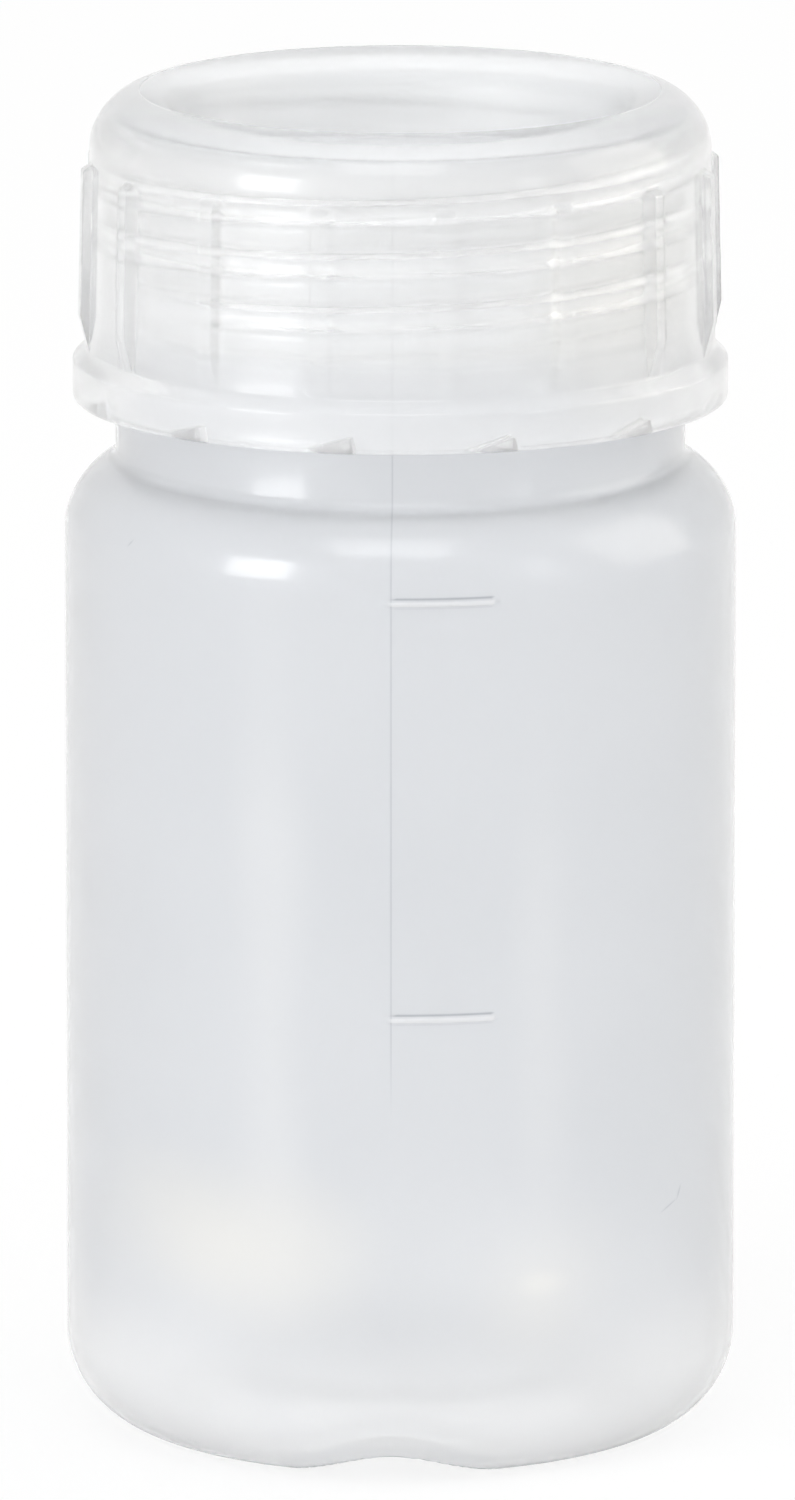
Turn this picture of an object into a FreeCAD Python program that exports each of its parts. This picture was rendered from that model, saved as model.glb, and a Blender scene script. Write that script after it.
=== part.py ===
import FreeCAD
import Part

import math
import os

# Wide-mouth laboratory bottle with its screw cap, in millimetres.
# The frame has +Z up, the base centre at the origin and the graduated front on the -Y side.
# The bottle was blown in two mould halves that met on the YZ plane.

# Body of the bottle
body_diameter = 48.0
body_wall = 1.4
body_height = 65.4
shoulder_radius = 5.5
shoulder_step = 3.65

# Base of the bottle
base_wall = 1.7
base_corner_radius = 7.0
foot_inner_radius = 15.7
foot_edge_radius = 1.0
recess_radius = 13.7
recess_depth = 3.3
recess_corner_radius = 2.5
channel_width = 19.6
channel_depth = 2.2
seam_length = 22.0
seam_width = 0.8
seam_height = 0.4

# Graduation marks, raised from the parting line towards +X
mark_count = 2
mark_drop = 1.05
mark_spacing = 29.95
mark_angle = 17.6
mark_width = 0.55
mark_height = 0.35

# Neck of the bottle
neck_height = 23.96
neck_root_radius = 1.0
neck_wall = 1.65
neck_ring_height = 9.0
neck_taper = 1.6
thread_depth = 1.0
finish_wall = 1.95
rim_radius = 0.4

# Screw cap
skirt_clearance = 0.3
skirt_wall = 1.42
skirt_draft = 0.4
bore_draft = 0.25
cap_gap = 3.56
crown_thickness = 1.8
crown_radius = 4.13
crown_width = 3.47
crown_drop = 0.7
collar_height = 3.8
collar_depth = 0.92
collar_edge_radius = 0.8
cap_turn = 9.7

# Dish in the top of the cap, whose underside is the plug that seals the bore
plug_clearance = 0.3
plug_wall = 1.3
plug_edge_radius = 1.2
dish_depth = 6.7
dish_floor = 1.5
dish_draft = 1.0
dish_rim_radius = 0.4
dish_flare_depth = 1.25
dish_throat_radius = 2.4
dish_corner_radius = 2.4

# Grip ribs on the skirt
rib_count = 16
rib_width = 1.5
rib_depth = 0.68
rib_top_gap = 4.77
rib_end_radius = 0.6

# Ratchet pockets in the underside of the collar
pocket_count = 12
pocket_length = 3.3
pocket_depth = 0.95
pocket_lip = 0.9
pocket_phase = 13.2

# Radii and levels that follow from the sizes above
body_radius = body_diameter / 2
neck_radius = body_radius - shoulder_step
finish_radius = neck_radius - thread_depth
bore_radius = finish_radius - finish_wall
shoulder_centre_radius = body_radius - shoulder_radius
root_offset = neck_radius + neck_root_radius - shoulder_centre_radius
shoulder_rise = math.sqrt((shoulder_radius + neck_root_radius) ** 2 - root_offset ** 2)
neck_foot = body_height + shoulder_rise
ring_top = neck_foot + neck_ring_height
rim_level = neck_foot + neck_height
crown_level = rim_level + crown_thickness
cap_bottom = neck_foot + cap_gap
collar_top = cap_bottom + collar_height
skirt_bore_radius = neck_radius + skirt_clearance
skirt_top_radius = skirt_bore_radius + skirt_wall
skirt_foot_radius = skirt_top_radius + skirt_draft
collar_radius = skirt_foot_radius + collar_depth
plug_radius = bore_radius - plug_clearance
dish_edge_radius = skirt_top_radius - crown_width
dish_top_radius = plug_radius - plug_wall
dish_floor_radius = dish_top_radius - dish_draft
dish_level = crown_level - dish_depth
plug_level = dish_level - dish_floor
mark_levels = [body_height - mark_drop - number * mark_spacing for number in range(mark_count)]

ORIGIN = FreeCAD.Vector(0, 0, 0)
UP = FreeCAD.Vector(0, 0, 1)
FRONT = -90.0
OVERLAP = 0.4


def point(radius, level):
    """A point of a profile in the half plane that is turned about the axis."""
    return FreeCAD.Vector(radius, 0, level)


def arc(start, middle, end):
    """The edge of the circle through three points."""
    return Part.Arc(start, middle, end).toShape()


def line(start, end):
    """The straight edge between two points."""
    return Part.LineSegment(start, end).toShape()


def corner_reach(before, corner, after, radius):
    """How far along its two sides the rounding of a corner reaches."""
    turn = (corner - before).getAngle(after - corner)
    return radius * math.tan(turn / 2)


def rounded_outline(corners):
    """Edges through the corners (radius, level, rounding), a rounding cut back where two would meet."""
    points = [point(radius, level) for radius, level, _ in corners]
    roundings = [rounding for _, _, rounding in corners]
    reaches = [0.0] * len(points)
    for i in range(1, len(points) - 1):
        reaches[i] = corner_reach(points[i - 1], points[i], points[i + 1], roundings[i])
    shares = [1.0] * len(points)
    for i in range(len(points) - 1):
        room = 0.98 * (points[i + 1] - points[i]).Length
        needed = reaches[i] + reaches[i + 1]
        if needed > room:
            shares[i] = min(shares[i], room / needed)
            shares[i + 1] = min(shares[i + 1], room / needed)
    edges = []
    last = points[0]
    for i in range(1, len(points) - 1):
        reach = reaches[i] * shares[i]
        if reach < 1e-6:
            edges.append(line(last, points[i]))
            last = points[i]
            continue
        back = (points[i - 1] - points[i]).normalize()
        ahead = (points[i + 1] - points[i]).normalize()
        start = points[i] + back * reach
        end = points[i] + ahead * reach
        rounding = roundings[i] * shares[i]
        inward = (back + ahead).normalize()
        to_centre = math.hypot(reach, rounding)
        middle = points[i] + inward * (to_centre - rounding)
        edges.append(line(last, start))
        edges.append(arc(start, middle, end))
        last = end
    edges.append(line(last, points[-1]))
    return edges


def turned(edges, angle=360.0, start=0.0):
    """The solid that a profile sweeps about the axis, closed by a line from its end to its start."""
    first = edges[0].Vertexes[0].Point
    last = edges[-1].Vertexes[-1].Point
    face = Part.Face(Part.Wire(edges + [line(last, first)]))
    solid = face.revolve(ORIGIN, UP, angle)
    return solid.rotated(ORIGIN, UP, start)


def shoulder_edges(radius, root_radius, neck):
    """The shoulder's round and the hollow round at the foot of the neck, from wall to neck."""
    centre = point(shoulder_centre_radius, body_height)
    offset = neck + root_radius - shoulder_centre_radius
    rise = math.sqrt((radius + root_radius) ** 2 - offset ** 2)
    root_centre = point(neck + root_radius, body_height + rise)
    lean = math.atan2(rise, offset)
    half = lean / 2
    wall_end = centre + point(radius, 0)
    crest = centre + point(radius * math.cos(half), radius * math.sin(half))
    meeting = centre + point(radius * math.cos(lean), radius * math.sin(lean))
    hollow = root_centre - point(root_radius * math.cos(half), root_radius * math.sin(half))
    neck_end = root_centre - point(root_radius, 0)
    return [arc(wall_end, crest, meeting), arc(meeting, hollow, neck_end)]


def bottle_envelope():
    """The outside of the bottle as a filled solid, from the recess under the base to the rim."""
    base = rounded_outline([
        (0, recess_depth, 0),
        (recess_radius, recess_depth, recess_corner_radius),
        (foot_inner_radius, 0, foot_edge_radius),
        (body_radius, 0, base_corner_radius),
        (body_radius, body_height, 0),
    ])
    finish = rounded_outline([
        (neck_radius, neck_foot, 0),
        (neck_radius, ring_top, rim_radius),
        (finish_radius, ring_top + thread_depth / 2, rim_radius),
        (finish_radius, rim_level, rim_radius),
        (0, rim_level, 0),
    ])
    return turned(base + shoulder_edges(shoulder_radius, neck_root_radius, neck_radius) + finish)


def bottle_hollow():
    """The space inside the bottle, which follows the outside at the thickness of each wall."""
    side_angle = math.atan2(recess_depth, foot_inner_radius - recess_radius)
    side_offset = base_wall * math.tan(side_angle / 2)
    inner_radius = body_radius - body_wall
    floor = rounded_outline([
        (0, recess_depth + base_wall, 0),
        (recess_radius + side_offset, recess_depth + base_wall, recess_corner_radius + base_wall),
        (foot_inner_radius + side_offset, base_wall, foot_edge_radius),
        (inner_radius, base_wall, base_corner_radius - base_wall),
        (inner_radius, body_height, 0),
    ])
    neck_inside = neck_radius - neck_wall
    shoulder = shoulder_edges(shoulder_radius - body_wall, neck_root_radius, neck_inside)
    neck_start = shoulder[-1].Vertexes[-1].Point.z
    finish = rounded_outline([
        (neck_inside, neck_start, 0),
        (neck_inside, ring_top - neck_taper, neck_root_radius),
        (bore_radius, ring_top + thread_depth, neck_root_radius),
        (bore_radius, rim_level, rim_radius),
        (bore_radius + 2 * rim_radius, rim_level, 0),
        (bore_radius + 2 * rim_radius, rim_level + OVERLAP, 0),
        (0, rim_level + OVERLAP, 0),
    ])
    return turned(floor + shoulder + finish)


def channel_bar(level):
    """A bar along Y whose top is the smooth rise of the channel across the foot, above a level."""
    half = channel_width / 2
    drop = OVERLAP / 2
    rise = (channel_depth + drop) / 2
    steepest = 2 * math.atan2(2 * rise, half)
    radius = half / 2 / math.sin(steepest)
    sag = radius * (1 - math.cos(steepest / 2))
    run = radius * math.sin(steepest / 2)

    def at(x, z):
        return FreeCAD.Vector(x, -body_radius - 1, level + z)

    foot = -drop
    crest = channel_depth
    edges = [
        arc(at(-half, foot), at(run - half, foot + sag), at(-half / 2, foot + rise)),
        arc(at(-half / 2, foot + rise), at(-run, crest - sag), at(0, crest)),
        arc(at(0, crest), at(run, crest - sag), at(half / 2, foot + rise)),
        arc(at(half / 2, foot + rise), at(half - run, foot + sag), at(half, foot)),
        line(at(half, foot), at(half, -3)),
        line(at(half, -3), at(-half, -3)),
        line(at(-half, -3), at(-half, foot)),
    ]
    return Part.Face(Part.Wire(edges)).extrude(FreeCAD.Vector(0, body_diameter + 2, 0))


def graduation_mark(level):
    """One raised mark, which starts at the parting line."""
    profile = rounded_outline([
        (body_radius - OVERLAP, level - mark_width / 2, 0),
        (body_radius + mark_height, level - mark_width / 2, mark_width / 3),
        (body_radius + mark_height, level + mark_width / 2, mark_width / 3),
        (body_radius - OVERLAP, level + mark_width / 2, 0),
    ])
    return turned(profile, mark_angle, FRONT)


def pinch_seam():
    """The thin weld line that the mould leaves across the recess under the base."""
    corner = FreeCAD.Vector(-seam_width / 2, -seam_length / 2, recess_depth - seam_height)
    return Part.makeBox(seam_width, seam_length, seam_height + OVERLAP, corner)


def bottle():
    """The blown bottle: body, shoulder, neck and the channelled foot, in one piece."""
    outside = bottle_envelope().cut(channel_bar(0))
    hollow = bottle_hollow().cut(channel_bar(base_wall))
    raised = [graduation_mark(level) for level in mark_levels] + [pinch_seam()]
    return outside.fuse(raised).cut(hollow)


def cap_shell():
    """The cap without ribs: dish and plug, crown, skirt and collar."""
    return turned(rounded_outline([
        (0, dish_level, 0),
        (dish_floor_radius, dish_level, dish_corner_radius),
        (dish_top_radius, crown_level - dish_flare_depth, dish_throat_radius),
        (dish_edge_radius, crown_level, dish_rim_radius),
        (skirt_top_radius, crown_level - crown_drop, crown_radius),
        (skirt_foot_radius, collar_top, collar_edge_radius / 2),
        (collar_radius, collar_top, collar_edge_radius),
        (collar_radius, cap_bottom, collar_edge_radius / 2),
        (skirt_bore_radius + bore_draft, cap_bottom, collar_edge_radius / 2),
        (skirt_bore_radius, rim_level, collar_edge_radius),
        (plug_radius, rim_level, 0),
        (plug_radius, plug_level, plug_edge_radius),
        (0, plug_level, 0),
    ]))


def grip_rib(number):
    """One upright rib of the grip, rounded at its upper end."""
    angle = math.degrees(rib_width / skirt_foot_radius)
    top = crown_level - rib_top_gap
    foot = collar_top - OVERLAP
    profile = rounded_outline([
        (skirt_foot_radius - 2 * OVERLAP, foot, 0),
        (skirt_foot_radius + rib_depth, foot, 0),
        (skirt_top_radius + rib_depth, top, rib_end_radius),
        (skirt_top_radius - OVERLAP, top, 0),
    ])
    return turned(profile, angle, number * 360 / rib_count - angle / 2)


def ratchet_pocket(number):
    """One sawtooth pocket that opens downwards and inwards, behind the outer lip of the collar."""
    inner = skirt_bore_radius - OVERLAP
    outer = collar_radius - pocket_lip
    corners = [
        FreeCAD.Vector(inner, -pocket_length, cap_bottom),
        FreeCAD.Vector(inner, 0, cap_bottom + pocket_depth),
        FreeCAD.Vector(inner, 0, cap_bottom - OVERLAP),
        FreeCAD.Vector(inner, -pocket_length, cap_bottom - OVERLAP),
    ]
    side = Part.Face(Part.makePolygon(corners + corners[:1]))
    wedge = side.extrude(FreeCAD.Vector(outer - inner, 0, 0))
    return wedge.rotated(ORIGIN, UP, pocket_phase + number * 360 / pocket_count)


def screw_cap():
    """The moulded cap with its grip ribs and ratchet pockets, turned as the thread stops it."""
    ribs = [grip_rib(number) for number in range(rib_count)]
    pockets = [ratchet_pocket(number) for number in range(pocket_count)]
    cap = cap_shell().fuse(ribs).cut(pockets)
    return cap.rotated(ORIGIN, UP, FRONT + cap_turn)


os.makedirs("parts", exist_ok=True)
for name, shape in (("bottle", bottle()), ("screw_cap", screw_cap())):
    solids = shape.Solids
    if len(solids) != 1 or not shape.isValid():
        raise RuntimeError(f"{name} is not one sound solid")
    solids[0].exportStep(f"parts/{name}.step")
    print(name, "volume", round(solids[0].Volume / 1000, 2), "ml")
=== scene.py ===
"""A milky, translucent laboratory bottle with its ribbed screw cap, standing in a pale studio.

Each piece is an outline, turned about the upright axis and then worked over point by point. All
lengths are in metres. The front faces -Y, and angles round the axis count from it to the right.
"""

import logging
import math
from collections.abc import Callable
from dataclasses import dataclass, field, replace
from enum import Enum

import bmesh
import bpy
from bmesh.types import BMesh, BMVert
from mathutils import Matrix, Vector


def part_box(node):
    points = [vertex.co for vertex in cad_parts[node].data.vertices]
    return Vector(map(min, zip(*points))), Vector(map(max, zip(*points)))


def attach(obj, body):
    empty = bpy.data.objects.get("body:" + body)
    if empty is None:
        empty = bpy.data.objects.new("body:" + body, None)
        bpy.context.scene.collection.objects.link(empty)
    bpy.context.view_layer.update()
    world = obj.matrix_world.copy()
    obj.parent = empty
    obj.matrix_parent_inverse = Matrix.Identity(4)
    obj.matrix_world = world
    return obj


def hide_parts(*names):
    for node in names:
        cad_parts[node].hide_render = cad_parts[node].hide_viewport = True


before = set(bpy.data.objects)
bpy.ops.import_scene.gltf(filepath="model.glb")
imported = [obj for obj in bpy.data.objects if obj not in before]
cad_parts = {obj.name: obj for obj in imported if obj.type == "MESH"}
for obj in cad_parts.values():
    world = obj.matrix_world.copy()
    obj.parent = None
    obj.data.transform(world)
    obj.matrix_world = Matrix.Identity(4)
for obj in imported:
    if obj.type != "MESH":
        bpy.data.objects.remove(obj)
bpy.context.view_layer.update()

TURN = math.tau
UPRIGHT = Vector((0.0, 0.0, 1.0))
# A skin is spun through one sector, which is then copied round.
SECTORS = 12
# The fewest rows of faces on a rounding.
FEWEST_ROWS = 3
# Points closer than this are one point.
WELD = 1e-7
# Two roundings that meet are drawn this much short of each other.
CORNER_SHARE = 0.995
ROUNDING_SHARE = 0.99
# The name of the relief that the points of a skin carry; it places the painted highlight on the
# marks' crests and the painted shade along their feet.
RELIEF = "relief"
# The two threads share their pitch and the angle at which they start.
THREAD_PITCH = 0.0038
THREAD_START = math.radians(-60.0)

Socket = bpy.types.NodeSocket
Colour = tuple[float, float, float]
Limits = tuple[float, float]

log = logging.getLogger("bottle")


class BodyName(Enum):
    """The bodies of the frame that the pieces ride on."""

    BOTTLE = "bottle"
    CAP = "cap"


class PieceNode(Enum):
    """The solids of the frame that the pieces stand for."""

    BOTTLE = "bottle"
    CAP = "screw_cap"


class PlasticSlot(Enum):
    """The record's finishes."""

    BOTTLE = "bottle_plastic"
    CAP = "cap_plastic"


class RaySort(Enum):
    """The two sorts of ray that see the bare white of the studio."""

    CAMERA = "Is Camera Ray"
    TRANSMISSION = "Is Transmission Ray"


class Reckoning(Enum):
    """What a node works out from its values."""

    SUM = "ADD"
    PRODUCT = "MULTIPLY"
    SIZE = "ABSOLUTE"
    LARGER = "MAXIMUM"


@dataclass(frozen=True)
class Corner:
    """One corner of an outline that is turned about the upright axis."""

    radius: float
    level: float
    rounding: float = 0.0

    def place(self) -> Vector:
        """The corner's place in the half plane that faces the front."""
        return Vector((0.0, -self.radius, self.level))


def front_angle(place: Vector) -> float:
    """How far round from the front a place lies, in radians, positive to the right."""
    return math.atan2(place.x, -place.y)


def ease(value: float, start: float, end: float) -> float:
    """Eases a value to 0 at the start and 1 at the end, which may lie below the start."""
    share = min(max((value - start) / (end - start), 0.0), 1.0)
    return share * share * (3.0 - 2.0 * share)


def nearest_turn(angle: float, count: int, phase: float) -> float:
    """The signed angle from the nearest of a ring of features, one of which lies at the phase."""
    step = TURN / count
    return (angle - phase + step / 2) % step - step / 2


def radius_of(place: Vector) -> float:
    """How far from the upright axis a place lies."""
    return math.hypot(place.x, place.y)


def push_out(vert: BMVert, distance: float) -> None:
    """Moves a point straight away from the axis.

    Args:
        vert: the point.
        distance: how far it moves; less than 0 is towards the axis.
    """
    radius = radius_of(vert.co)
    vert.co.x *= 1.0 + distance / radius
    vert.co.y *= 1.0 + distance / radius


def bearing(azimuth: float, elevation: float) -> Vector:
    """The direction in which something stands, seen from the bottle.

    Args:
        azimuth: the angle round from the front, in degrees.
        elevation: the angle above the floor, in degrees.

    Returns:
        The direction, with a length of 1.
    """
    turned = math.radians(azimuth)
    raised = math.radians(elevation)
    return Vector((
        math.sin(turned) * math.cos(raised),
        -math.cos(turned) * math.cos(raised),
        math.sin(raised),
    ))


def placed_object(name: str, data: bpy.types.ID) -> bpy.types.Object:
    """Makes an object and puts it into the scene.

    Args:
        name: the object's name.
        data: its mesh, lamp or camera.

    Returns:
        The object.
    """
    made = bpy.data.objects.new(name, data)
    bpy.context.scene.collection.objects.link(made)
    return made


def rounded_wire(bm: BMesh, corners: list[Corner], arc_row: float) -> None:
    """Draws an outline through its corners and rounds them.

    Args:
        bm: the mesh that gets the wire.
        corners: the outline's corners in order.
        arc_row: the length of one row of faces along a rounding.
    """
    points = [bm.verts.new(corner.place()) for corner in corners]
    for start, end in zip(points, points[1:]):
        bm.edges.new((start, end))
    for before, corner, after, point in zip(corners, corners[1:], corners[2:], points[1:]):
        if not corner.rounding:
            continue
        turn = (corner.place() - before.place()).angle(after.place() - corner.place())
        bmesh.ops.bevel(
            bm,
            geom=[point],
            offset=corner.rounding * math.tan(turn / 2),
            offset_type="OFFSET",
            segments=max(FEWEST_ROWS, round(corner.rounding * turn / arc_row)),
            profile=0.5,
            affect="VERTICES",
            material=-1,
        )


def turned_skin(
    corners: list[Corner],
    columns: int,
    arc_row: float,
    row_height: Callable[[float, float], float],
) -> BMesh:
    """Turns an outline about the upright axis into a skin of faces.

    Args:
        corners: the outline's corners in order.
        columns: the faces in one turn.
        arc_row: the length of one row of faces along a rounding.
        row_height: the longest row allowed at a radius and level of the outline.

    Returns:
        The skin as a mesh of its own, open where the outline ends off the axis.
    """
    bm = bmesh.new()
    rounded_wire(bm, corners, arc_row)
    for edge in list(bm.edges):
        middle = (edge.verts[0].co + edge.verts[1].co) / 2
        cuts = math.ceil(edge.calc_length() / row_height(-middle.y, middle.z)) - 1
        if cuts:
            bmesh.ops.subdivide_edges(bm, edges=[edge], cuts=cuts)
    bmesh.ops.spin(
        bm,
        geom=[*bm.verts, *bm.edges],
        axis=UPRIGHT,
        angle=TURN / SECTORS,
        steps=columns // SECTORS,
    )
    bmesh.ops.spin(
        bm,
        geom=[*bm.verts, *bm.edges, *bm.faces],
        axis=UPRIGHT,
        angle=TURN - TURN / SECTORS,
        steps=SECTORS - 1,
        use_duplicate=True,
    )
    bmesh.ops.remove_doubles(bm, verts=bm.verts, dist=WELD)
    bm.verts.layers.float.new(RELIEF)
    return bm


@dataclass(frozen=True)
class ScrewThread:
    """A right-handed thread that stands out of a round wall and fades at both ends."""

    start_level: float
    turns: float
    depth: float
    crest_width: float
    root_width: float
    pitch: float = THREAD_PITCH
    start_angle: float = THREAD_START
    fade_turns: float = 0.12

    def height(self, angle: float, level: float) -> float:
        """How far the thread stands out of its wall.

        Args:
            angle: the angle round the axis from the front.
            level: the height above the foot.

        Returns:
            The distance from the thread's root.
        """
        round_share = ((angle - self.start_angle) / TURN) % 1.0
        climbed = (level - self.start_level) / self.pitch
        along = round(climbed - round_share) + round_share
        offset = abs(climbed - along) * self.pitch
        form = ease(offset, self.root_width / 2, self.crest_width / 2)
        fade_in = ease(along, 0.0, self.fade_turns)
        fade_out = ease(along, self.turns, self.turns - self.fade_turns)
        return self.depth * form * fade_in * fade_out


def reckoned(tree: bpy.types.NodeTree, sort: Reckoning, *values: Socket | float) -> Socket:
    """Adds a node that works out one value from others.

    Args:
        tree: the nodes that it joins.
        sort: what it works out.
        values: the outputs or the numbers that it reads.

    Returns:
        The node's output.
    """
    node = tree.nodes.new("ShaderNodeMath")
    node.operation = sort.value
    for number, value in enumerate(values):
        if isinstance(value, float):
            node.inputs[number].default_value = value
        else:
            tree.links.new(value, node.inputs[number])
    return node.outputs["Value"]


def bare_white(tree: bpy.types.NodeTree) -> Socket:
    """Adds a switch that is 1 for the rays that see the studio itself.

    Args:
        tree: the nodes of the floor or the world.

    Returns:
        The switch's output.
    """
    path = tree.nodes.new("ShaderNodeLightPath")
    seen = [path.outputs[sort.value] for sort in RaySort]
    return reckoned(tree, Reckoning.LARGER, *seen)


@dataclass(frozen=True)
class PaintedLightOrScratch:
    """A painted patch of light, a painted upright streak of reflected light, or a hairline scratch
    in the skin.

    Attributes:
        sideways, level, depth: its middle, to the right, above the foot and behind the axis.
        half_width, half_height, half_depth: half its sizes.
        tint: its colour.
        lean: how far it leans, in degrees.
        edge: where it starts and is full, in half sizes from its middle plus the clouds' noise.
    """

    sideways: float
    level: float
    half_width: float
    half_height: float
    tint: Colour
    lean: float = 0.0
    depth: float = -0.022
    half_depth: float = 0.025
    edge: Limits = (1.5, 0.5)


class NodeDesk:
    """Lays out the nodes of one finish, all of them reading Object coordinates."""

    def __init__(self, tree: bpy.types.NodeTree) -> None:
        """Takes the tree and adds its coordinates."""
        self.tree = tree
        self.place = tree.nodes.new("ShaderNodeTexCoord").outputs["Object"]

    def link(self, start: Socket, end: Socket) -> None:
        """Links an output to an input."""
        self.tree.links.new(start, end)

    def noise(self, scale: float, detail: float) -> Socket:
        """Adds a noise.

        Args:
            scale: how fine the noise is, in waves a metre.
            detail: how many finer octaves it has.

        Returns:
            The noise's output, around 0.5.
        """
        node = self.tree.nodes.new("ShaderNodeTexNoise")
        node.inputs["Scale"].default_value = scale
        node.inputs["Detail"].default_value = detail
        self.link(self.place, node.inputs["Vector"])
        return node.outputs["Fac"]

    def axis(self, name: str) -> Socket:
        """Splits one coordinate off.

        Args:
            name: the coordinate's letter.

        Returns:
            The coordinate's output, in metres.
        """
        node = self.tree.nodes.new("ShaderNodeSeparateXYZ")
        self.link(self.place, node.inputs["Vector"])
        return node.outputs[name]

    def relief(self) -> Socket:
        """Adds the relief that the piece carries.

        Returns:
            The relief's output, 1 on a crest and -1 along its foot, where the finish paints its
            highlight and its shade.
        """
        node = self.tree.nodes.new("ShaderNodeAttribute")
        node.attribute_name = RELIEF
        return node.outputs["Fac"]

    def light_or_scratch_patch(self, spot: PaintedLightOrScratch, clouds: Socket) -> Socket:
        """Draws one painted patch or streak of light, or one scratch.

        Args:
            spot: where it lies, how large it is and how it leans.
            clouds: the noise that makes its edge uneven.

        Returns:
            The patch's output, 1 in its middle and 0 around it.
        """
        node = self.tree.nodes.new("ShaderNodeMapping")
        node.vector_type = "TEXTURE"
        node.inputs["Location"].default_value = (spot.sideways, spot.depth, spot.level)
        node.inputs["Rotation"].default_value = (0.0, math.radians(spot.lean), 0.0)
        node.inputs["Scale"].default_value = (spot.half_width, spot.half_depth, spot.half_height)
        self.link(self.place, node.inputs["Vector"])
        reach = self.tree.nodes.new("ShaderNodeVectorMath")
        reach.operation = "LENGTH"
        self.link(node.outputs["Vector"], reach.inputs[0])
        uneven = reckoned(self.tree, Reckoning.SUM, reach.outputs["Value"], clouds)
        return self.ramp(uneven, *spot.edge)

    def ramp(
        self,
        value: Socket,
        start: float,
        end: float,
        low: float = 0.0,
        high: float = 1.0,
    ) -> Socket:
        """Eases from one number to another while a value crosses a range.

        Args:
            value: the value that is read.
            start: where the range starts.
            end: where it ends; it may lie below the start.
            low: the result at the start.
            high: the result at the end.

        Returns:
            The eased number's output.
        """
        node = self.tree.nodes.new("ShaderNodeMapRange")
        node.interpolation_type = "SMOOTHSTEP"
        node.inputs["From Min"].default_value = start
        node.inputs["From Max"].default_value = end
        node.inputs["To Min"].default_value = low
        node.inputs["To Max"].default_value = high
        self.link(value, node.inputs["Value"])
        return node.outputs["Result"]

    def blend(self, share: Socket, start: Socket | Colour, end: Socket | Colour) -> Socket:
        """Blends two colours, each given as numbers or as an output.

        Args:
            share: how much of the second colour shows.
            start: the first colour.
            end: the second colour.

        Returns:
            The blended colour's output.
        """
        node = self.tree.nodes.new("ShaderNodeMix")
        node.data_type = "RGBA"
        self.link(share, node.inputs["Factor"])
        for name, colour in (("A", start), ("B", end)):
            if isinstance(colour, tuple):
                node.inputs[name].default_value = (*colour, 1.0)
            else:
                self.link(colour, node.inputs[name])
        return node.outputs["Result"]

    def bump(self, height: Socket, strength: float, depth: float) -> Socket:
        """Adds a bump.

        Args:
            height: the height that it reads.
            strength: how much of it shows.
            depth: how deep a height of 1 is, in metres.

        Returns:
            The bumped normal.
        """
        node = self.tree.nodes.new("ShaderNodeBump")
        node.inputs["Strength"].default_value = strength
        node.inputs["Distance"].default_value = depth
        self.link(height, node.inputs["Height"])
        return node.outputs["Normal"]


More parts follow.
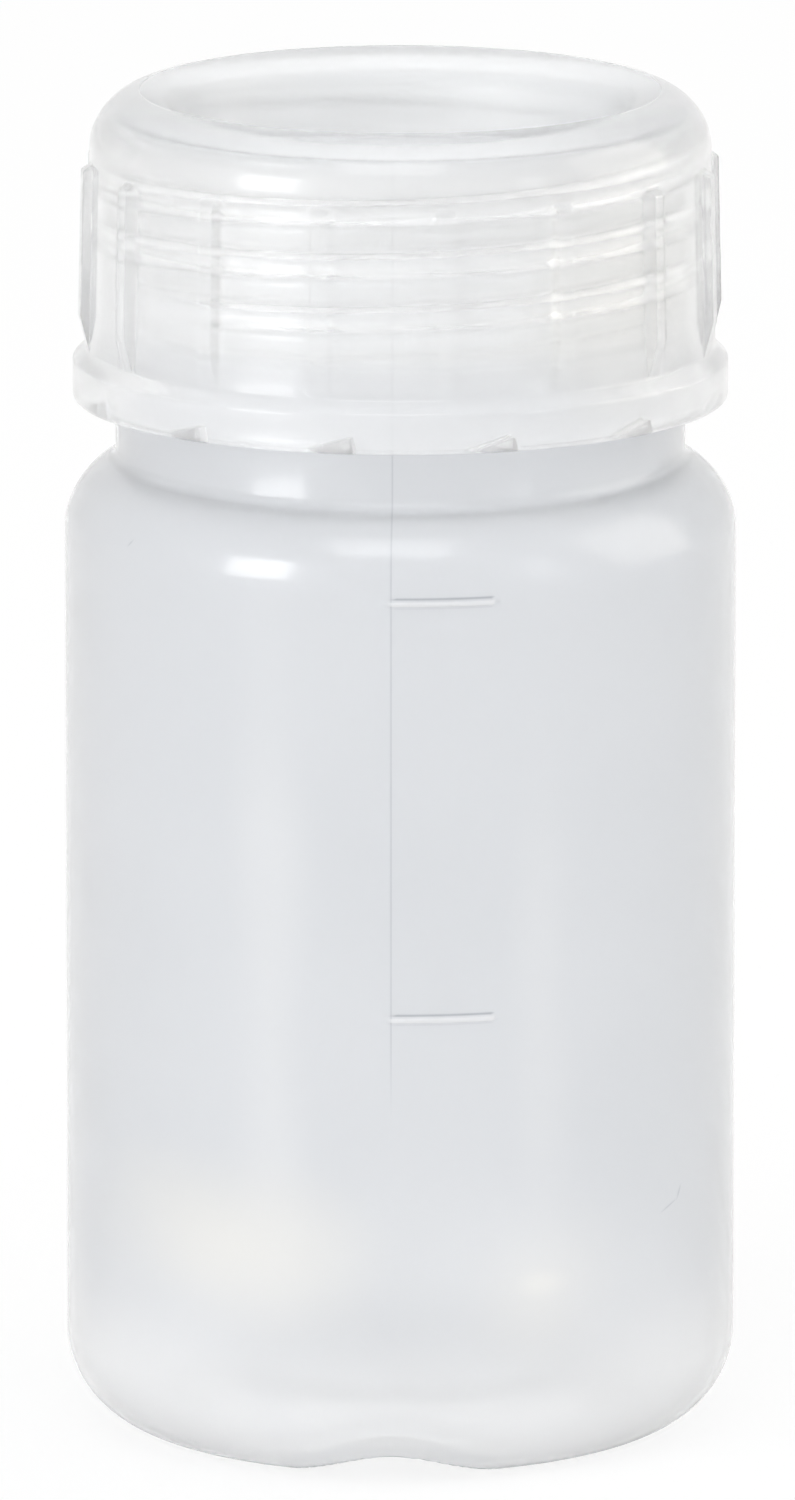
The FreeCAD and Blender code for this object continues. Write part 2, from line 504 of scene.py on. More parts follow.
@dataclass(frozen=True)
class MilkyPlastic:
    """A milky, translucent, waxy plastic with a clear gloss on its skin.

    Attributes:
        tint, shade: its colours beside and inside its milky clouds.
        foot_painted_light, top_painted_light: painted light and shade, its paler or darker colour
            low down and high up.
        foot_levels, top_levels: where each of those starts and where it is full.
        clearness: how much light goes through.
        haze, haze_spread: how much that light is scattered, and how far the clouds change it.
        gloss, gloss_haze: how strong the skin's shine is, and how much it is scattered.
        waviness: how much of the skin's waves shows.
        painted_light_and_scratches: its painted patches of light, painted streaks of reflected
            light and hairline scratches.
        index: its refractive index.
        cloud_limits: the part of the clouds' noise that shows.
        parting: how strongly the painted shade along the parting line shows; none shows at 0.
        parting_width, parting_levels: half its width, and where it starts and is full.
        crest_highlight, crest_relief: the painted highlight on the relief's crests, and what
            counts as one.
        groove_shade, groove_relief: the painted shade along their feet; the parting line's painted
            shade is this grey too.
    """

    name: str
    tint: Colour
    shade: Colour
    foot_painted_light: Colour
    foot_levels: Limits
    top_painted_light: Colour
    top_levels: Limits
    clearness: float
    haze: float
    gloss_haze: float
    waviness: float
    painted_light_and_scratches: tuple[PaintedLightOrScratch, ...] = ()
    parting: float = 0.0
    haze_spread: float = 0.02
    gloss: float = 1.0
    index: float = 1.35
    cloud_scale: float = 60.0
    cloud_limits: Limits = (0.3, 0.7)
    wave_scale: float = 90.0
    wave_depth: float = 0.001
    parting_width: float = 0.00009
    parting_levels: Limits = (0.026, 0.034)
    # The crests' white is a painted highlight; the grey at their feet and along the parting line
    # is painted shade.
    crest_highlight: Colour = (1.0, 1.0, 1.0)
    crest_relief: Limits = (0.1, 0.8)
    groove_shade: Colour = (0.4, 0.42, 0.45)
    groove_relief: Limits = (-0.1, -1.0)

    def material(self) -> bpy.types.Material:
        """Makes the finish.

        Returns:
            The material, which reads Object coordinates and the pieces' relief.
        """
        made = bpy.data.materials.new(self.name)
        made.use_nodes = True
        desk = NodeDesk(made.node_tree)
        shader = made.node_tree.nodes["Principled BSDF"]
        shader.inputs["IOR"].default_value = self.index
        shader.inputs["Transmission Weight"].default_value = self.clearness
        shader.inputs["Coat Weight"].default_value = self.gloss
        shader.inputs["Coat Roughness"].default_value = self.gloss_haze
        shader.inputs["Coat IOR"].default_value = self.index
        clouds = desk.noise(self.cloud_scale, detail=1.0)
        colour = self.milky_colour_and_painted_light(desk, clouds)
        if self.parting:
            colour = self.relief_highlight_and_shade(desk, colour)
        desk.link(colour, shader.inputs["Base Color"])
        spread = self.haze_spread / 2
        haze = desk.ramp(clouds, *self.cloud_limits, self.haze - spread, self.haze + spread)
        desk.link(haze, shader.inputs["Roughness"])
        waves = desk.noise(self.wave_scale, detail=0.0)
        skin = desk.bump(waves, self.waviness, self.wave_depth)
        desk.link(skin, shader.inputs["Normal"])
        desk.link(skin, shader.inputs["Coat Normal"])
        return made

    def milky_colour_and_painted_light(self, desk: NodeDesk, clouds: Socket) -> Socket:
        """Clouds the plastic, paints light and shade towards its foot and its top, and adds its
        painted patches of light and its scratches.

        Args:
            desk: the finish's nodes.
            clouds: the noise of the milky clouds.

        Returns:
            The colour's output.
        """
        level = desk.axis("Z")
        milky = desk.blend(desk.ramp(clouds, *self.cloud_limits), self.shade, self.tint)
        # Painted light and shade towards the foot and the top.
        milky = desk.blend(desk.ramp(level, *self.foot_levels), milky, self.foot_painted_light)
        milky = desk.blend(desk.ramp(level, *self.top_levels), milky, self.top_painted_light)
        # Painted patches of light, painted streaks of reflected light and scratches.
        for spot in self.painted_light_and_scratches:
            milky = desk.blend(desk.light_or_scratch_patch(spot, clouds), milky, spot.tint)
        return milky

    def relief_highlight_and_shade(self, desk: NodeDesk, milky: Socket) -> Socket:
        """Paints shade along the parting line, and a highlight on the relief's crests and shade
        along its feet.

        Args:
            desk: the finish's nodes.
            milky: the plastic's own colour.

        Returns:
            The colour's output.
        """
        # Painted shade along the parting line, then painted shade and highlight on the relief.
        off = reckoned(desk.tree, Reckoning.SIZE, desk.axis("X"))
        line = desk.ramp(off, self.parting_width, self.parting_width / 3, 0.0, self.parting)
        fade = desk.ramp(desk.axis("Z"), *self.parting_levels)
        shown = reckoned(desk.tree, Reckoning.PRODUCT, line, fade)
        parted = desk.blend(shown, milky, self.groove_shade)
        relief = desk.relief()
        edged = desk.blend(desk.ramp(relief, *self.groove_relief), parted, self.groove_shade)
        return desk.blend(desk.ramp(relief, *self.crest_relief), edged, self.crest_highlight)


SCRATCH_GREY = (0.6, 0.62, 0.65)
BODY_FINISH = MilkyPlastic(
    name="milky_bottle_plastic",
    tint=(0.857, 0.868, 0.885),
    shade=(0.841, 0.853, 0.871),
    # Paler at the foot and at the threaded top of the neck: painted light.
    foot_painted_light=(0.962, 0.966, 0.972),
    foot_levels=(0.0135, 0.006),
    painted_light_and_scratches=(
        # Two tall pale streaks are painted reflections of the softboxes; then painted patches of
        # warm light low down, a small painted highlight, and three scratches.
        PaintedLightOrScratch(-0.0085, 0.032, 0.0036, 0.038, (0.9, 0.907, 0.918)),
        PaintedLightOrScratch(0.0105, 0.036, 0.003, 0.03, (0.885, 0.893, 0.906)),
        PaintedLightOrScratch(-0.0115, 0.0172, 0.013, 0.0085, (0.935, 0.928, 0.905)),
        PaintedLightOrScratch(0.0102, 0.0142, 0.0075, 0.0085, (0.91, 0.909, 0.9)),
        PaintedLightOrScratch(0.0105, 0.0148, 0.003, 0.0018, (0.98, 0.974, 0.95)),
        PaintedLightOrScratch(0.0195, 0.0188, 0.0001, 0.0009, SCRATCH_GREY, lean=58.0),
        PaintedLightOrScratch(0.0202, 0.0196, 0.0001, 0.0007, SCRATCH_GREY, lean=15.0),
        PaintedLightOrScratch(-0.0187, 0.0668, 0.0001, 0.0006, SCRATCH_GREY, lean=40.0),
    ),
    top_painted_light=(0.985, 0.99, 0.995),
    top_levels=(0.0798, 0.0812),
    clearness=0.77,
    haze=0.295,
    gloss_haze=0.09,
    waviness=0.06,
    # The parting line is drawn with painted shade.
    parting=0.35,
)
CAP_FINISH = MilkyPlastic(
    name="milky_cap_plastic",
    tint=(0.997, 0.999, 1.0),
    shade=(0.993, 0.996, 0.999),
    # A little darker at the collar and darker at the crown: painted shade.
    foot_painted_light=(0.985, 0.988, 0.993),
    foot_levels=(0.082, 0.078),
    # A painted patch of warm light on the cap's right side.
    painted_light_and_scratches=(PaintedLightOrScratch(0.0165, 0.0855, 0.0115, 0.012, (0.998, 0.993, 0.976)),),
    top_painted_light=(0.94, 0.95, 0.962),
    top_levels=(0.0935, 0.0962),
    clearness=0.81,
    haze=0.26,
    gloss_haze=0.12,
    waviness=0.03,
)
DISH_FINISH = replace(
    CAP_FINISH,
    name="dull_dish_plastic",
    # Its colour is a little darker than the rest of the cap's: painted shade in the hollow of the
    # dish.
    tint=(0.985, 0.991, 0.998),
    shade=(0.978, 0.985, 0.993),
    top_painted_light=(0.978, 0.985, 0.993),
    painted_light_and_scratches=(PaintedLightOrScratch(-0.0111, 0.0912, 0.0001, 0.0005, SCRATCH_GREY, lean=90.0, depth=0.012),),
    clearness=0.75,
    haze=0.4,
    gloss=0.5,
    gloss_haze=0.4,
)


def joined_skins(skins: list[BMesh]) -> BMesh:
    """Joins skins along the rings where they meet into one closed mesh.

    Args:
        skins: the skins, which are freed.

    Returns:
        The closed mesh, its faces turned outwards.
    """
    joined = bmesh.new()
    for skin in skins:
        carrier = bpy.data.meshes.new("skin")
        skin.to_mesh(carrier)
        skin.free()
        joined.from_mesh(carrier)
        bpy.data.meshes.remove(carrier)
    bmesh.ops.remove_doubles(joined, verts=joined.verts, dist=WELD)
    bmesh.ops.recalc_face_normals(joined, faces=joined.faces)
    return joined


def finished_piece(
    skins: list[BMesh],
    name: str,
    materials: list[bpy.types.Material],
    body: BodyName,
    node: PieceNode,
) -> bpy.types.Object:
    """Closes the skins of a piece, makes it an object and ties it to the frame.

    Args:
        skins: the skins of the outside and the inside, which are freed.
        name: the piece's name.
        materials: its finishes, in the order of the faces' numbers.
        body: the body that it rides on.
        node: the solid that it stands for.

    Returns:
        The piece.
    """
    bm = joined_skins(skins)
    for face in bm.faces:
        face.smooth = True
    mesh = bpy.data.meshes.new(name)
    bm.to_mesh(mesh)
    bm.free()
    for material in materials:
        mesh.materials.append(material)
    piece = placed_object(name, mesh)
    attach(piece, body.value)
    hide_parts(node.value)
    return piece


@dataclass
class BlownBottle:
    """The bottle: channelled foot, body with its marks, shoulder, neck and thread."""

    body_radius: float
    rim_level: float
    finish: MilkyPlastic
    body_wall: float = 0.0014
    body_height: float = 0.0654
    base_wall: float = 0.0017
    base_rounding: float = 0.007
    foot_inner_radius: float = 0.0157
    foot_rounding: float = 0.001
    recess_radius: float = 0.0137
    recess_depth: float = 0.0033
    recess_rounding: float = 0.0025
    channel_width: float = 0.0196
    channel_depth: float = 0.0022
    channel_drop: float = 0.0002
    seam_length: float = 0.022
    seam_width: float = 0.0008
    seam_height: float = 0.0004
    shoulder_rounding: float = 0.0055
    shoulder_step: float = 0.00365
    neck_rounding: float = 0.001
    neck_wall: float = 0.00165
    ring_height: float = 0.009
    neck_height: float = 0.02396
    neck_taper: float = 0.0016
    thread_depth: float = 0.001
    thread_gap: float = 0.0013
    finish_wall: float = 0.00195
    rim_rounding: float = 0.0004
    mark_count: int = 2
    mark_drop: float = 0.00105
    mark_spacing: float = 0.02995
    mark_angle: float = 17.6
    mark_width: float = 0.00055
    mark_height: float = 0.00035
    mark_lower_shade: float = 0.4
    parting_height: float = 0.00004
    parting_width: float = 0.0005
    columns: int = 360
    arc_row: float = 0.00045
    thread_row: float = 0.00025
    mark_row: float = 0.00012
    base_row: float = 0.0011
    wall_row: float = 0.0045
    thread: ScrewThread = field(init=False)

    def __post_init__(self) -> None:
        """Works out the radii and levels that follow from the sizes."""
        self.neck_radius = self.body_radius - self.shoulder_step
        self.root_radius = self.neck_radius - self.thread_depth
        self.bore_radius = self.root_radius - self.finish_wall
        self.neck_foot = self.rim_level - self.neck_height
        self.ring_top = self.neck_foot + self.ring_height
        self.mark_levels = [
            self.body_height - self.mark_drop - number * self.mark_spacing
            for number in range(self.mark_count)
        ]
        self.thread = ScrewThread(
            start_level=self.ring_top + self.thread_gap,
            turns=3.1,
            depth=self.thread_depth,
            crest_width=0.0008,
            root_width=0.0026,
        )

    def shoulder(self, wall_radius: float, rounding: float, neck_radius: float) -> list[Corner]:
        """The two corners of the shoulder, whose roundings meet each other.

        Args:
            wall_radius: the radius of the wall below.
            rounding: the shoulder's rounding.
            neck_radius: the radius of the neck above.

        Returns:
            The corners at the wall and at the neck.
        """
        neck_rounding = self.neck_rounding
        reach = rounding + neck_rounding
        run = neck_radius + neck_rounding - (wall_radius - rounding)
        lean = math.acos(run / reach)
        neck_start = self.body_height + reach * math.sin(lean)
        share = CORNER_SHARE * math.tan(lean / 2)
        wall_level = self.body_height + rounding * share
        neck_level = neck_start - neck_rounding * share
        return [
            Corner(wall_radius, wall_level, rounding * ROUNDING_SHARE),
            Corner(neck_radius, neck_level, neck_rounding * ROUNDING_SHARE),
        ]

    def outside(self) -> list[Corner]:
        """The outline of the outside, from the middle of the recess to the rim.

        Returns:
            The outline's corners.
        """
        wall = []
        for level in sorted(self.mark_levels):
            wall.append(Corner(self.body_radius, level - self.mark_width))
            wall.append(Corner(self.body_radius, level + self.mark_width))
        return [
            Corner(0.0, self.recess_depth),
            Corner(self.recess_radius, self.recess_depth, self.recess_rounding),
            Corner(self.foot_inner_radius, 0.0, self.foot_rounding),
            Corner(self.body_radius, 0.0, self.base_rounding),
            *wall,
            *self.shoulder(self.body_radius, self.shoulder_rounding, self.neck_radius),
            Corner(self.neck_radius, self.ring_top, self.rim_rounding),
            Corner(self.root_radius, self.ring_top + self.thread_depth / 2, self.rim_rounding),
            Corner(self.root_radius, self.rim_level, self.rim_rounding),
            Corner((self.root_radius + self.bore_radius) / 2, self.rim_level),
        ]

    def inside(self) -> list[Corner]:
        """The outline of the inside, from the rim to the middle of the floor.

        Returns:
            The outline's corners.
        """
        side_angle = math.atan2(self.recess_depth, self.foot_inner_radius - self.recess_radius)
        side = self.base_wall * math.tan(side_angle / 2)
        plateau = self.recess_depth + self.base_wall
        wall_radius = self.body_radius - self.body_wall
        neck_inside = self.neck_radius - self.neck_wall
        shoulder = self.shoulder(
            wall_radius, self.shoulder_rounding - self.body_wall, neck_inside
        )
        return [
            Corner((self.root_radius + self.bore_radius) / 2, self.rim_level),
            Corner(self.bore_radius, self.rim_level, self.rim_rounding),
            Corner(self.bore_radius, self.ring_top + self.thread_depth, self.neck_rounding),
            Corner(neck_inside, self.ring_top - self.neck_taper, self.neck_rounding),
            *reversed(shoulder),
            Corner(wall_radius, self.base_wall, self.base_rounding - self.base_wall),
            Corner(self.foot_inner_radius + side, self.base_wall, self.foot_rounding),
            Corner(self.recess_radius + side, plateau, self.recess_rounding + self.base_wall),
            Corner(0.0, plateau),
        ]

    def row_height(self, radius: float, level: float) -> float:
        """How long a row of faces may be at a place of the outline.

        Args:
            radius: the distance from the axis.
            level: the height above the foot.

        Returns:
            The longest row that still shows what lies there.
        """
        on_thread = radius > self.bore_radius + self.finish_wall / 2 and level > self.ring_top
        if on_thread and level < self.rim_level - self.rim_rounding / 2:
            return self.thread_row
        near_mark = min(abs(level - mark) for mark in self.mark_levels) < self.mark_width
        if near_mark and radius > self.body_radius - self.body_wall / 2:
            return self.mark_row
        if level < self.base_rounding:
            return self.base_row
        return self.wall_row

    def channel_rise(self, sideways: float) -> float:
        """How high the channel across the foot stands at a distance from its middle line."""
        share = ease(abs(sideways), self.channel_width / 2, 0.0)
        return (self.channel_depth + self.channel_drop) * share - self.channel_drop

    def raise_channel(self, skin: BMesh, floor: float) -> None:
        """Lifts a skin of the base to the channel that crosses the foot.

        Args:
            skin: the points of the outside or the inside.
            floor: the level of that skin's lowest ring.
        """
        for vert in skin.verts:
            if vert.co.z < self.recess_depth + floor / 2:
                vert.co.z = max(vert.co.z, floor + self.channel_rise(vert.co.x))

    def raise_seam(self, skin: BMesh) -> None:
        """Draws the pinched weld line down from the recess under the base.

        Args:
            skin: the points of the outside.
        """
        end = self.seam_length / 2
        for vert in skin.verts:
            if abs(vert.co.z - self.recess_depth) > self.seam_height:
                continue
            across = ease(abs(vert.co.x), self.seam_width, self.seam_width / 3)
            along = ease(abs(vert.co.y), end, end - self.seam_width)
            vert.co.z -= self.seam_height * across * along

    def raise_marks(self, skin: BMesh) -> None:
        """Raises the two marks, which start at the parting line and run to the right.

        Args:
            skin: the points of the outside, which also get the marks' relief, where the finish
                paints a highlight and shade.
        """
        end = math.radians(self.mark_angle)
        edge = self.mark_width / 3 / self.body_radius
        relief = skin.verts.layers.float[RELIEF]
        for vert in skin.verts:
            angle = front_angle(vert.co)
            if not -edge < angle < end + edge:
                continue
            along = ease(angle, -edge, edge) * ease(angle, end + edge, end - edge)
            off = min(abs(vert.co.z - level) for level in self.mark_levels)
            across = ease(off, self.mark_width / 2, self.mark_width / 6)
            # The crest gets the painted highlight and the foot the painted shade, weaker below the
            # mark.
            crest = ease(off, self.mark_width / 2, self.mark_width / 4)
            foot = ease(off, self.mark_width, self.mark_width / 2) - crest
            above = any(0.0 < vert.co.z - level < self.mark_width for level in self.mark_levels)
            shade = 1.0 if above else self.mark_lower_shade
            vert[relief] = (crest - max(foot, 0.0) * shade) * along
            if across:
                push_out(vert, self.mark_height * across * along)

    def raise_parting_line(self, skin: BMesh) -> None:
        """Raises the fine line that the two halves of the mould leave at the front and back.

        Args:
            skin: the points of the outside.
        """
        for vert in skin.verts:
            if self.base_rounding / 2 < vert.co.z < self.ring_top:
                off = abs(nearest_turn(front_angle(vert.co), 2, 0.0)) * self.body_radius
                push_out(vert, self.parting_height * ease(off, self.parting_width, 0.0))

    def cut_thread(self, skin: BMesh) -> None:
        """Raises the thread on the outside of the neck.

        Args:
            skin: the points of the outside.
        """
        for vert in skin.verts:
            if self.ring_top < vert.co.z < self.rim_level - self.rim_rounding:
                push_out(vert, self.thread.height(front_angle(vert.co), vert.co.z))

    def build(self) -> bpy.types.Object:
        """Builds the bottle as one closed mesh.

        Returns:
            The piece.
        """
        outside = turned_skin(self.outside(), self.columns, self.arc_row, self.row_height)
        self.cut_thread(outside)
        self.raise_marks(outside)
        self.raise_parting_line(outside)
        self.raise_channel(outside, 0.0)
        self.raise_seam(outside)
        inside = turned_skin(self.inside(), self.columns, self.arc_row, self.row_height)
        self.raise_channel(inside, self.base_wall)
        return finished_piece(
            [outside, inside],
            "blown_bottle",
            [self.finish.material()],
            BodyName.BOTTLE,
            PieceNode.BOTTLE,
        )


@dataclass
class RibbedCap:
    """The screw cap: dished top and plug, ribbed skirt, collar with ratchet pockets."""

    collar_radius: float
    cap_bottom: float
    crown_level: float
    finish: MilkyPlastic
    dish_finish: MilkyPlastic
    collar_depth: float = 0.00092
    skirt_draft: float = 0.0004
    skirt_wall: float = 0.00142
    bore_draft: float = 0.00025
    crown_thickness: float = 0.0018
    crown_rounding: float = 0.00413
    crown_width: float = 0.00347
    crown_drop: float = 0.0007
    ceiling_gap: float = 0.00004
    collar_height: float = 0.0038
    collar_slope: float = 0.0009
    collar_rounding: float = 0.0008
    plug_radius: float = 0.0171
    plug_wall: float = 0.0013
    plug_rounding: float = 0.0012
    dish_depth: float = 0.0067
    dish_floor: float = 0.0015
    dish_draft: float = 0.001
    dish_rim_rounding: float = 0.0004
    dish_flare_depth: float = 0.00125
    dish_throat_rounding: float = 0.0024
    dish_rounding: float = 0.0024
    rib_count: int = 16
    rib_width: float = 0.0015
    rib_depth: float = 0.00068
    rib_top_gap: float = 0.00477
    rib_rounding: float = 0.0006
    rib_side: float = 0.00025
    rib_crowding: float = 0.72
    pocket_count: int = 12
    pocket_length: float = 0.0033
    pocket_depth: float = 0.00095
    pocket_lip: float = 0.0009
    pocket_phase: float = 13.2
    pocket_edge: float = 0.0002
    cap_turn: float = 9.7
    thread_gap: float = 0.00864
    columns: int = 480
    arc_row: float = 0.0004
    rib_end_row: float = 0.00012
    bore_row: float = 0.0003
    collar_row: float = 0.0005
    wall_row: float = 0.0025
    thread: ScrewThread = field(init=False)

    def __post_init__(self) -> None:
        """Works out the radii and levels that follow from the sizes."""
        self.skirt_foot_radius = self.collar_radius - self.collar_depth
        self.skirt_top_radius = self.skirt_foot_radius - self.skirt_draft
        self.bore_radius = self.skirt_top_radius - self.skirt_wall
        self.ceiling = self.crown_level - self.crown_thickness + self.ceiling_gap
        self.collar_top = self.cap_bottom + self.collar_height
        self.rib_top = self.crown_level - self.rib_top_gap
        self.shoulder_level = self.crown_level - self.crown_drop
        self.dish_level = self.crown_level - self.dish_depth
        self.dish_top_radius = self.plug_radius - self.plug_wall
        self.dish_edge_radius = self.skirt_top_radius - self.crown_width
        self.phase = math.radians(self.cap_turn)
        self.thread = ScrewThread(
            start_level=self.cap_bottom + self.thread_gap,
            turns=2.5,
            depth=0.001,
            crest_width=0.0006,
            root_width=0.0022,
        )

    def skirt_radius(self, level: float) -> float:
        """The radius of the drafted skirt at a level."""
        share = (level - self.collar_top) / (self.shoulder_level - self.collar_top)
        return self.skirt_foot_radius - self.skirt_draft * share

    def outside(self) -> list[Corner]:
        """The outline of the outside, from the middle of the dish to the foot of the collar.

        Returns:
            The outline's corners.
        """
        rib_end = self.rib_top + self.rib_rounding / 4
        rib_start = self.rib_top - 2 * self.rib_rounding
        flare_foot = self.crown_level - self.dish_flare_depth
        slope_foot = self.collar_top - self.collar_slope
        edge = self.collar_rounding / 2
        return [
            Corner(0.0, self.dish_level),
            Corner(self.dish_top_radius - self.dish_draft, self.dish_level, self.dish_rounding),
            Corner(self.dish_top_radius, flare_foot, self.dish_throat_rounding),
            Corner(self.dish_edge_radius, self.crown_level, self.dish_rim_rounding),
            Corner(self.skirt_top_radius, self.shoulder_level, self.crown_rounding),
            Corner(self.skirt_radius(rib_end), rib_end),
            Corner(self.skirt_radius(rib_start), rib_start),
            Corner(self.skirt_foot_radius, self.collar_top, edge),
            Corner(self.collar_radius, slope_foot, edge),
            Corner(self.collar_radius, self.cap_bottom, edge),
            Corner(self.collar_radius - self.pocket_lip, self.cap_bottom),
        ]

    def inside(self) -> list[Corner]:
        """The outline of the underside, from the lip of the collar to the middle of the plug.

        Returns:
            The outline's corners.
        """
        plug_level = self.dish_level - self.dish_floor
        edge = self.collar_rounding / 2
        return [
            Corner(self.collar_radius - self.pocket_lip, self.cap_bottom),
            Corner(self.collar_radius - self.pocket_lip - self.pocket_edge, self.cap_bottom),
            Corner(self.bore_radius + self.bore_draft, self.cap_bottom, edge),
            Corner(self.bore_radius, self.ceiling, self.collar_rounding),
            Corner(self.plug_radius, self.ceiling, edge),
            Corner(self.plug_radius, plug_level, self.plug_rounding),
            Corner(0.0, plug_level),
        ]

    def row_height(self, radius: float, level: float) -> float:
        """How long a row of faces may be at a place of the outline.

        Args:
            radius: the distance from the axis.
            level: the height above the foot.

        Returns:
            The longest row that still shows what lies there.
        """
        on_skirt = radius > self.skirt_top_radius - self.skirt_wall / 2
        if on_skirt and abs(level - self.rib_top) < 1.5 * self.rib_rounding:
            return self.rib_end_row
        if abs(radius - self.bore_radius) < self.bore_draft and level > self.cap_bottom:
            return self.bore_row
        if level < self.collar_top:
            return self.collar_row
        return self.wall_row

    def crowd_columns(self, skin: BMesh) -> None:
        """Draws the columns of faces together at the ribs, where the form changes most.

        Args:
            skin: the points of the outside.
        """
        for vert in skin.verts:
            angle = front_angle(vert.co)
            radius = radius_of(vert.co)
            share = self.rib_crowding * ease(vert.co.z, self.cap_bottom, self.collar_top)
            share *= ease(radius, self.dish_top_radius / 2, self.dish_top_radius)
            angle -= share * math.sin(self.rib_count * (angle - self.phase)) / self.rib_count
            vert.co.x = radius * math.sin(angle)
            vert.co.y = -radius * math.cos(angle)

    def raise_ribs(self, skin: BMesh) -> None:
        """Raises the upright grip ribs, rounded at their upper ends.

        Args:
            skin: the points of the outside.
        """
        foot = (self.rib_width + self.rib_side) / 2
        crest = (self.rib_width - self.rib_side) / 2
        for vert in skin.verts:
            radius = radius_of(vert.co)
            if radius < self.bore_radius or vert.co.z < self.collar_top + self.collar_rounding / 4:
                continue
            off = abs(nearest_turn(front_angle(vert.co), self.rib_count, self.phase)) * radius
            across = ease(off, foot, crest)
            up = ease(vert.co.z, self.rib_top, self.rib_top - self.rib_rounding)
            push_out(vert, self.rib_depth * across * up)

    def mark_dish(self, skin: BMesh) -> None:
        """Numbers the faces of the dish for the cap's second, duller finish.

        Args:
            skin: the faces of the outside.
        """
        for face in skin.faces:
            if radius_of(face.calc_center_median()) < self.dish_edge_radius:
                face.material_index = 1

    def sink_pockets(self, skin: BMesh) -> None:
        """Sinks the sawtooth pockets into the underside, each from a slope to an upright face.

        Args:
            skin: the points of the inside.
        """
        reach = 2 * self.pocket_depth
        length = self.pocket_length / self.bore_radius
        start = self.phase + math.radians(self.pocket_phase)
        lip_radius = self.collar_radius - self.pocket_lip - self.pocket_edge / 2
        for vert in skin.verts:
            up = vert.co.z - self.cap_bottom
            if up > reach or radius_of(vert.co) > lip_radius:
                continue
            behind = (start - front_angle(vert.co)) % (TURN / self.pocket_count)
            if behind < length:
                vert.co.z += self.pocket_depth * (1.0 - behind / length) * (1.0 - up / reach)

    def cut_thread(self, skin: BMesh) -> None:
        """Raises the thread on the wall of the bore, between the turns of the neck's.

        Args:
            skin: the points of the inside.
        """
        for vert in skin.verts:
            if abs(radius_of(vert.co) - self.bore_radius) < self.bore_draft:
                push_out(vert, -self.thread.height(front_angle(vert.co), vert.co.z))

    def build(self) -> bpy.types.Object:
        """Builds the cap as one closed mesh.

        Returns:
            The piece.
        """
        outside = turned_skin(self.outside(), self.columns, self.arc_row, self.row_height)
        self.crowd_columns(outside)
        self.raise_ribs(outside)
        self.mark_dish(outside)
        inside = turned_skin(self.inside(), self.columns, self.arc_row, self.row_height)
        self.cut_thread(inside)
        self.sink_pockets(inside)
        return finished_piece(
            [outside, inside],
            "ribbed_cap",
            [self.finish.material(), self.dish_finish.material()],
            BodyName.CAP,
            PieceNode.CAP,
        )


@dataclass(frozen=True)
class SoftBox:
    """A softbox of the studio, placed by where it stands, seen from the bottle.

    Attributes:
        azimuth, elevation: where it stands, round from the front and above the floor, in degrees.
        width, height: how large it looks from there, in degrees.
        radiance: how bright it looks, where 1 is white.
        target_level: the level that it is turned to.
    """

    name: str
    azimuth: float
    elevation: float
    width: float
    height: float
    radiance: float
    colour: Colour = (1.0, 1.0, 1.0)
    distance: float = 2.0
    target_level: float = 0.05

    def build(self) -> None:
        """Hangs the softbox and turns it to the bottle."""
        across = 2 * self.distance * math.tan(math.radians(self.width / 2))
        up = 2 * self.distance * math.tan(math.radians(self.height / 2))
        light = bpy.data.lights.new(self.name, "AREA")
        light.shape = "RECTANGLE"
        light.size = across
        light.size_y = up
        light.energy = self.radiance * math.pi * across * up
        light.color = self.colour
        lamp = placed_object(self.name, light)
        away = bearing(self.azimuth, self.elevation)
        lamp.location = away * self.distance + UPRIGHT * self.target_level
        lamp.rotation_euler = away.to_track_quat("Z", "Y").to_euler()


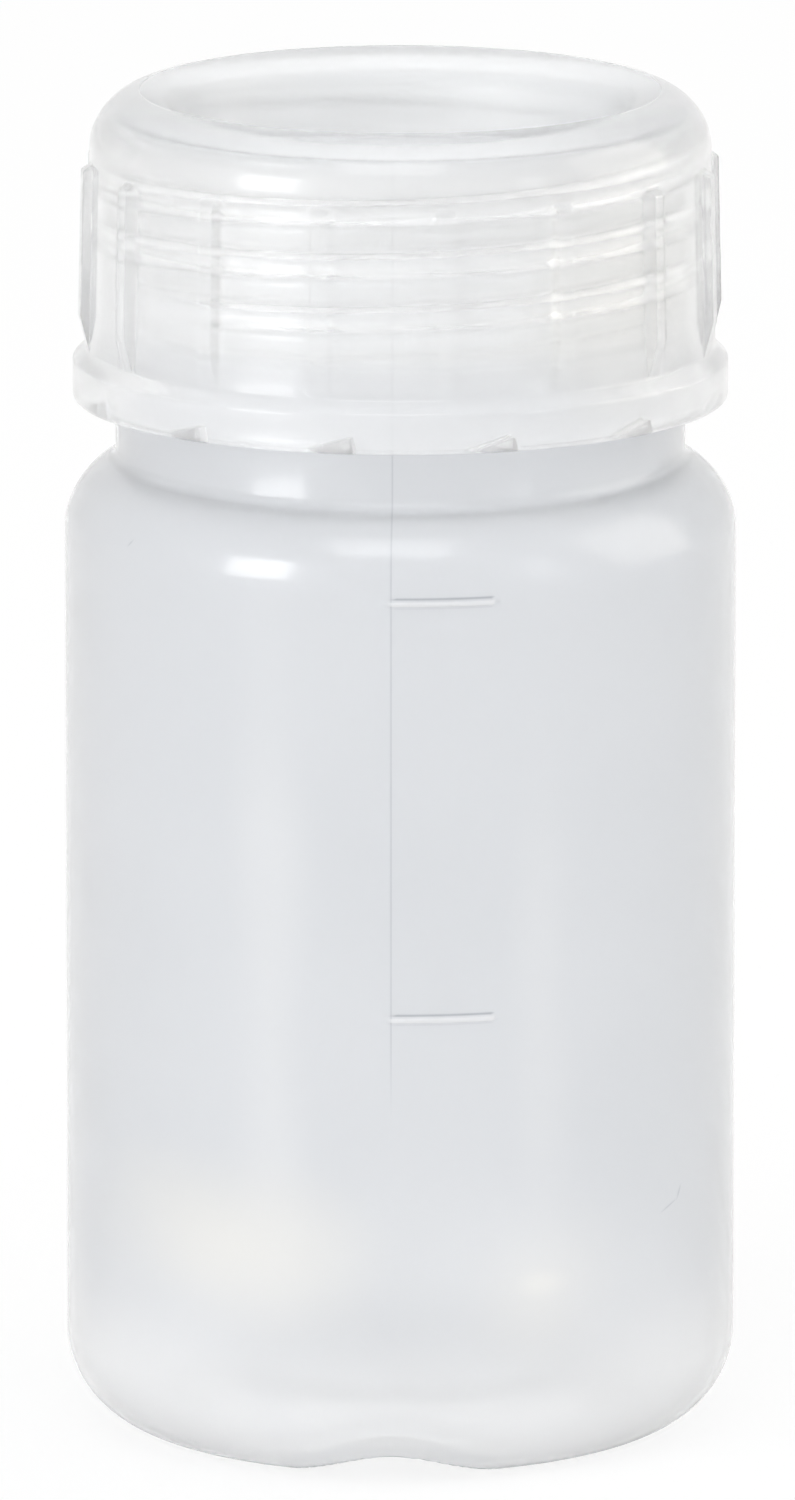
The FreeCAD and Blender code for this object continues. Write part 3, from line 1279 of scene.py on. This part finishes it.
@dataclass
class PaleStudio:
    """The pale floor, the white surroundings, the softboxes and the camera."""

    floor_size: float = 8.0
    floor_white: float = 0.9
    floor_lift: float = 0.8
    fill: float = 0.885
    bounces: int = 12
    diffuse_bounces: int = 3
    lens: float = 469.0
    sensor: float = 36.0
    distance: float = 1.4
    camera_azimuth: float = 1.6
    camera_elevation: float = 11.65
    target: tuple[float, float, float] = (-0.00021, 0.0, 0.04894)
    lamps: tuple[SoftBox, ...] = (
        SoftBox("left_front_softbox", -48.6, 9.4, 23.0, 33.0, radiance=5.4),
        SoftBox("right_front_strip", 51.0, 9.0, 10.0, 33.0, radiance=1.5),
        SoftBox("overhead_softbox", -2.0, 52.0, 32.0, 22.0, radiance=2.3),
        SoftBox("right_softbox", 98.0, 17.0, 40.0, 50.0, radiance=1.3, colour=(1.0, 0.96, 0.89)),
    )

    def build_world(self) -> None:
        """Makes the surroundings, white to the eye and plain as a light."""
        world = bpy.data.worlds.new("pale_studio")
        bpy.context.scene.world = world
        world.use_nodes = True
        tree = world.node_tree
        background = tree.nodes["Background"]
        background.inputs["Color"].default_value = (1.0, 1.0, 1.0, 1.0)
        world.cycles.sampling_method = "NONE"
        strength = tree.nodes.new("ShaderNodeMapRange")
        strength.inputs["To Min"].default_value = self.fill
        strength.inputs["To Max"].default_value = 1.0
        tree.links.new(bare_white(tree), strength.inputs["Value"])
        tree.links.new(strength.outputs["Result"], background.inputs["Strength"])

    def build_floor(self) -> None:
        """Lays the floor, which is white and still takes the bottle's shadow."""
        bm = bmesh.new()
        bmesh.ops.create_grid(bm, x_segments=1, y_segments=1, size=self.floor_size / 2)
        mesh = bpy.data.meshes.new("studio_floor")
        bm.to_mesh(mesh)
        bm.free()
        mesh.materials.append(self.floor_material())
        floor = placed_object("studio_floor", mesh)

    def floor_material(self) -> bpy.types.Material:
        """Makes the floor's matt white.

        Returns:
            The material.
        """
        made = bpy.data.materials.new("pale_floor")
        made.use_nodes = True
        tree = made.node_tree
        shader = tree.nodes["Principled BSDF"]
        shader.inputs["Base Color"].default_value = (self.floor_white,) * 3 + (1.0,)
        shader.inputs["Roughness"].default_value = 1.0
        shader.inputs["Specular IOR Level"].default_value = 0.0
        glow = tree.nodes.new("ShaderNodeEmission")
        mix = tree.nodes.new("ShaderNodeMixShader")
        share = reckoned(tree, Reckoning.PRODUCT, bare_white(tree), self.floor_lift)
        tree.links.new(share, mix.inputs["Fac"])
        tree.links.new(shader.outputs["BSDF"], mix.inputs[1])
        tree.links.new(glow.outputs["Emission"], mix.inputs[2])
        tree.links.new(mix.outputs["Shader"], tree.nodes["Material Output"].inputs["Surface"])
        return made

    def build_camera(self) -> None:
        """Sets up the camera at the photograph's viewing angle."""
        data = bpy.data.cameras.new("camera")
        data.lens = self.lens
        data.sensor_width = self.sensor
        camera = placed_object("camera", data)
        back = bearing(self.camera_azimuth, self.camera_elevation)
        camera.location = Vector(self.target) + back * self.distance
        camera.rotation_euler = back.to_track_quat("Z", "Y").to_euler()
        bpy.context.scene.camera = camera

    def set_light_paths(self) -> None:
        """Lets light cross the many walls of the cap and neck without being lost or blurred."""
        paths = bpy.context.scene.cycles
        paths.max_bounces = self.bounces
        paths.transmission_bounces = self.bounces
        paths.glossy_bounces = self.bounces
        paths.diffuse_bounces = self.diffuse_bounces
        paths.blur_glossy = 0.0

    def build(self) -> None:
        """Sets up the whole studio."""
        bpy.context.scene.view_settings.view_transform = "Standard"
        self.set_light_paths()
        self.build_world()
        self.build_floor()
        for lamp in self.lamps:
            lamp.build()
        self.build_camera()


def main() -> None:
    """Builds the bottle, its cap and the studio, and reports each piece."""
    logging.basicConfig(level=logging.INFO, format="%(name)s: %(message)s")
    _, bottle_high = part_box(PieceNode.BOTTLE.value)
    cap_low, cap_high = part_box(PieceNode.CAP.value)
    bottle = BlownBottle(bottle_high.x, bottle_high.z, BODY_FINISH)
    cap = RibbedCap(cap_high.x, cap_low.z, cap_high.z, CAP_FINISH, DISH_FINISH)
    for part in (bottle, cap):
        piece = part.build()
        log.info("%s has %d faces", piece.name, len(piece.data.polygons))
    PaleStudio().build()
    log.info("the studio is set up")


if __name__ == "__main__":
    main()
